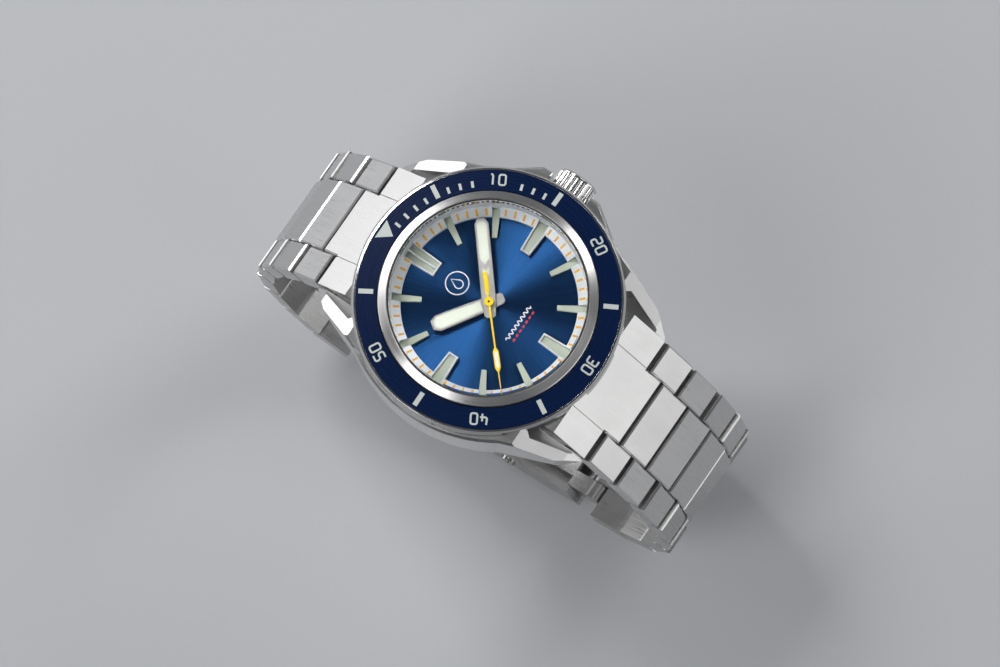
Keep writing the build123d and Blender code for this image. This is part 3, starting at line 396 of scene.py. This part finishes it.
class Solids:
    """Gathers closed prisms that lie on a surface and turns them into one mesh."""

    def __init__(self, surface, rise=INK, sink=SUNK):
        self.mesh = bmesh.new()
        self.surface, self.rise, self.sink = surface, rise, sink

    def corner(self, point, lift):
        x, y = point
        return self.mesh.verts.new((x * MM, y * MM, (self.surface(x, y) + lift) * MM))

    def prism(self, outline, at=0.0):
        """A filled outline, counter-clockwise."""
        points = [turned(p, at) for p in outline]
        top = [self.corner(p, self.rise) for p in points]
        low = [self.corner(p, -self.sink) for p in points]
        self.mesh.faces.new(top)
        self.mesh.faces.new(low[::-1])
        for i in range(len(points)):
            j = (i + 1) % len(points)
            self.mesh.faces.new((top[i], low[i], low[j], top[j]))

    def band(self, left, right, at=0.0, closed=False):
        """A strip between two rows of points, the left one on the left as the path runs."""
        sides = ((left, self.rise), (right, self.rise), (left, -self.sink), (right, -self.sink))
        lt, rt, lb, rb = [[self.corner(turned(p, at), lift) for p in row] for row, lift in sides]
        count = len(left)
        for i in range(count if closed else count - 1):
            j = (i + 1) % count
            self.mesh.faces.new((lt[i], rt[i], rt[j], lt[j]))
            self.mesh.faces.new((rb[i], lb[i], lb[j], rb[j]))
            self.mesh.faces.new((lb[i], lt[i], lt[j], lb[j]))
            self.mesh.faces.new((rt[i], rb[i], rb[j], rt[j]))
        if not closed:
            self.mesh.faces.new((lt[0], lb[0], rb[0], rt[0]))
            self.mesh.faces.new((rt[-1], rb[-1], lb[-1], lt[-1]))

    def piece(self, name, body, made):
        bmesh.ops.recalc_face_normals(self.mesh, faces=self.mesh.faces)
        data = bpy.data.meshes.new(name)
        self.mesh.to_mesh(data)
        self.mesh.free()
        data.materials.append(made)
        made_object = bpy.data.objects.new(name, data)
        bpy.context.scene.collection.objects.link(made_object)
        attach(made_object, body)
        return made_object


def rounded(path, radius, closed=False, steps=5):
    """A path with its corners turned into curves, each in a number of steps."""
    points = [Vector(p) for p in path]
    count = len(points)
    out = []
    for i, here in enumerate(points):
        if not closed and i in (0, count - 1):
            out.append(here)
            continue
        back = (points[i - 1] - here).normalized() * radius
        ahead = (points[(i + 1) % count] - here).normalized() * radius
        for k in range(steps + 1):
            t = k / steps
            out.append((here + back) * (1 - t) ** 2 + here * 2 * t * (1 - t) + (here + ahead) * t ** 2)
    return out


def two_sides(path, width, closed=False):
    """The rows of points on the left and the right of a path."""
    count = len(path)
    left, right = [], []
    for i, here in enumerate(path):
        before = path[i - 1] if closed or i else here
        after = path[(i + 1) % count] if closed or i < count - 1 else here
        along = (after - before).normalized()
        side = Vector((-along.y, along.x)) * width / 2
        left.append(tuple(here + side))
        right.append(tuple(here - side))
    return left, right


# strokes of each digit, in shares of its width and height
DIGITS = {
    "0": [([(0, 0), (1, 0), (1, 1), (0, 1)], True)],
    "1": [([(0.55, 0), (0.55, 1), (0.2, 1)], False)],
    "2": [([(0, 1), (1, 1), (1, 0.5), (0, 0.5), (0, 0), (1, 0)], False)],
    "3": [([(0, 1), (1, 1), (1, 0), (0, 0)], False), ([(0.3, 0.5), (1, 0.5)], False)],
    "4": [([(0.1, 1), (0, 0.32), (1.1, 0.32)], False), ([(0.75, 0.7), (0.75, 0)], False)],
    "5": [([(1, 1), (0, 1), (0, 0.5), (1, 0.5), (1, 0), (0, 0)], False)],
}


def write_number(solids, text, radius, at):
    """Digits side by side, with their tops outwards."""
    step = DIGIT_WIDTH + DIGIT_STROKE + DIGIT_GAP
    for place, digit in enumerate(text):
        x0 = (place - (len(text) - 1) / 2) * step - DIGIT_WIDTH / 2
        for strokes, closed in DIGITS[digit]:
            path = [(x0 + u * DIGIT_WIDTH, radius + (v - 0.5) * DIGIT_HEIGHT) for u, v in strokes]
            left, right = two_sides(rounded(path, DIGIT_ROUND, closed), DIGIT_STROKE, closed)
            solids.band(left, right, at, closed)


def bar(inner, outer, half_in, half_out=None):
    """Outline of a bar that points outwards."""
    half_out = half_in if half_out is None else half_out
    return [(-half_in, inner), (half_in, inner), (half_out, outer), (-half_out, outer)]


def circle(radius, sides, centre=0.0):
    """Corners of a regular polygon, counter-clockwise, centred above the origin."""
    turns = [radians(360 / sides * i) for i in range(sides)]
    return [(radius * cos(a), centre + radius * sin(a)) for a in turns]


# ---------------------------------------------------------------- pieces
def bezel_lume(made):
    """The dive scale: triangle, bars, minute ticks and numerals."""
    scale = Solids(insert_surface)
    scale.prism([(0, LUME_IN_R), (TRIANGLE_HALF, LUME_OUT_R), (-TRIANGLE_HALF, LUME_OUT_R)])
    for minute in range(5, 60, 10):
        scale.prism(bar(LUME_IN_R, LUME_OUT_R, BAR_WIDTH / 2), 6 * minute)
    for minute in (1, 2, 3, 4, 6, 7, 8, 12, 13, 14):
        scale.prism(bar(LUME_IN_R, TICK_OUT_R, TICK_WIDTH / 2), 6 * minute)
    for minute in range(10, 60, 10):
        write_number(scale, str(minute), (LUME_IN_R + LUME_OUT_R) / 2, 6 * minute)
    scale.piece("bezel_lume", "bezel", made)


def minute_track(made):
    """Four ticks between each two hours, on the chapter ring's slope."""
    track = Solids(chapter_surface)
    for minute in range(60):
        if minute % 5:
            track.prism(bar(TRACK_IN_R, TRACK_OUT_R, TRACK_WIDTH / 2), 6 * minute)
    track.piece("minute_track", "case", made)


def hand_inlays(made):
    """Lume in the hour and minute hands."""
    hour = Solids(level(HOUR_TOP))
    hour.prism([(-0.72, 1.3), (0.72, 1.3), (0.95, 6.3), (0.95, 8.25), (0.5, 8.95), (-0.5, 8.95),
                (-0.95, 8.25), (-0.95, 6.3)], HOUR_AT)
    hour.piece("hour_hand_lume", "hour_tube", made)
    minute = Solids(level(MINUTE_TOP))
    minute.prism([(0, 5.9), (0.72, 6.9), (0.72, 12.2), (0.4, 12.8), (-0.4, 12.8), (-0.72, 12.2),
                  (-0.72, 6.9)], MINUTE_AT)
    minute.prism([(-0.42, 1.2), (0.42, 1.2), (0.5, 5.6), (0, 4.9), (-0.5, 5.6)], MINUTE_AT)
    minute.piece("minute_hand_lume", "minute_arbor", made)


def seconds_details(lume, steel):
    """The seconds hand's lozenge of lume and the pin at its hub."""
    lozenge = Solids(level(SECOND_LUME_Z))
    lozenge.prism([(0, 7.75), (0.26, 8.15), (0.26, 10.2), (0, 10.65), (-0.26, 10.2), (-0.26, 8.1)],
                  SECOND_AT)
    lozenge.piece("seconds_hand_lume", "seconds_arbor", lume)
    pin = Solids(level(PIN_Z), PIN_RISE)
    pin.prism(circle(PIN_R, PIN_SIDES))
    pin.piece("seconds_hand_pin", "seconds_arbor", steel)


def dial_print(white, red):
    """A plain round emblem of a drop under 12, a wave line and a dashed line above 6."""
    emblem = Solids(level(DIAL_TOP))
    centre, radius, stroke = 5.97, 1.8, 0.17
    ring = [Vector(p) for p in circle(radius, 48, centre)]
    emblem.band(*two_sides(ring, stroke, True), closed=True)
    tip, drop_radius, drop_low = 1.15, 0.68, -0.3        # the drop, from the ring's centre
    belly = [radians(a) for a in range(20, -220, -20)]
    drop = [(0, tip)] + [(drop_radius * cos(a), drop_low + drop_radius * sin(a)) for a in belly]
    drop = [Vector((x, y + centre)) for x, y in drop]
    emblem.band(*two_sides(drop, 0.16, True), closed=True)
    start, step, level_at, swing, length = -3.2, 0.1, -5.35, 0.26, 0.8
    wave = [Vector((start + step * i, level_at + swing * sin(2 * pi * step * i / length))) for i in range(65)]
    emblem.band(*two_sides(wave, stroke))
    emblem.piece("dial_print", "case", white)
    dashes = Solids(level(DIAL_TOP))
    first, pitch, low, high = -2.55, 0.85, -6.45, -6.15
    for i in range(7):
        x = first + pitch * i
        dashes.prism([(x - 0.28, low), (x + 0.2, low), (x + 0.28, high), (x - 0.2, high)])
    dashes.piece("dial_dashes", "case", red)


# ---------------------------------------------------------------- studio
def studio():
    """A plain pale floor and a dim, slightly blue surround."""
    floor_mesh = bmesh.new()
    bmesh.ops.create_grid(floor_mesh, x_segments=4, y_segments=4, size=FLOOR_HALF)
    data = bpy.data.meshes.new("floor")
    floor_mesh.to_mesh(data)
    floor_mesh.free()
    floor = bpy.data.objects.new("floor", data)
    floor.location.z = CAD_BOX[0][2] - FLOOR_GAP
    bpy.context.scene.collection.objects.link(floor)
    data.materials.append(paint("floor_paint", (0.5, 0.51, 0.53), 0.7, grain=3.0, depth=0.02, shift=0.97))
    world = bpy.data.worlds.new("studio")
    bpy.context.scene.world = world
    world.use_nodes = True
    background = world.node_tree.nodes["Background"]
    background.inputs["Color"].default_value = (0.9, 0.94, 1.0, 1)
    background.inputs["Strength"].default_value = 0.1


def softbox(name, direction, distance, width, height, power):
    """An area light that faces the watch: metres and watts."""
    light = bpy.data.lights.new(name, "AREA")
    light.shape, light.size, light.size_y = "RECTANGLE", width, height
    light.energy = power
    lamp = bpy.data.objects.new(name, light)
    place = Vector(direction).normalized()
    lamp.location = place * distance
    lamp.rotation_euler = place.to_track_quat("Z", "Y").to_euler()
    bpy.context.scene.collection.objects.link(lamp)


def lights():
    softbox("overhead", (0.16, 0.62, 0.8), 1.0, 0.36, 0.3, 4)
    softbox("key", (-0.1, 0.95, 0.2), 0.75, 0.9, 0.42, 2.8)
    softbox("top", (-0.75, 0.25, 0.9), 0.9, 0.3, 0.6, 2.5)
    softbox("right", (1.0, -0.25, 0.5), 0.9, 0.3, 0.5, 3)
    softbox("front", (0.1, -1.0, 0.22), 1.0, 0.9, 0.75, 2.8)


def camera():
    """Nearly square to the dial, from far away, with 12 o'clock up and to the left."""
    view = Vector((-0.162, -0.17, 1.0)).normalized()     # from the watch to the camera
    up_at, distance, lens = 34.35, 1.218, 288.0
    aside, below = 1.8 * MM, 5.3 * MM                    # aim, right of and below the insert's centre
    up = Vector((cos(radians(up_at)), sin(radians(up_at)), 0))
    right = up.cross(view).normalized()
    up = view.cross(right)
    data = bpy.data.cameras.new("camera")
    data.lens, data.sensor_width = lens, 36.0
    data.clip_start, data.clip_end = 0.05, 20.0
    eye = bpy.data.objects.new("camera", data)
    aim = Vector((0, 0, INSERT_IN_Z * MM)) + right * aside - up * below
    turn = Matrix((right, up, view)).transposed().to_4x4()
    eye.matrix_world = Matrix.Translation(aim + view * distance) @ turn
    bpy.context.scene.collection.objects.link(eye)
    bpy.context.scene.camera = eye


# ---------------------------------------------------------------- make it
finish_nodes()
lume = paint("lume", (0.6, 0.64, 0.54), 0.55)
bezel_lume(paint("bezel_lume_paint", (0.6, 0.65, 0.62), 0.5))
minute_track(paint("track_yellow", (0.6, 0.29, 0.0), 0.45))
hand_inlays(lume)
seconds_details(lume, polished_steel("pin_steel", (0.3, 0.28, 0.25), (0.1, 0.2), 0.0))
dial_print(paint("print_white", (0.62, 0.64, 0.67), 0.45),
           paint("print_red", (0.42, 0.012, 0.018), 0.45))
studio()
lights()
camera()
bpy.context.scene.view_settings.view_transform = "Standard"
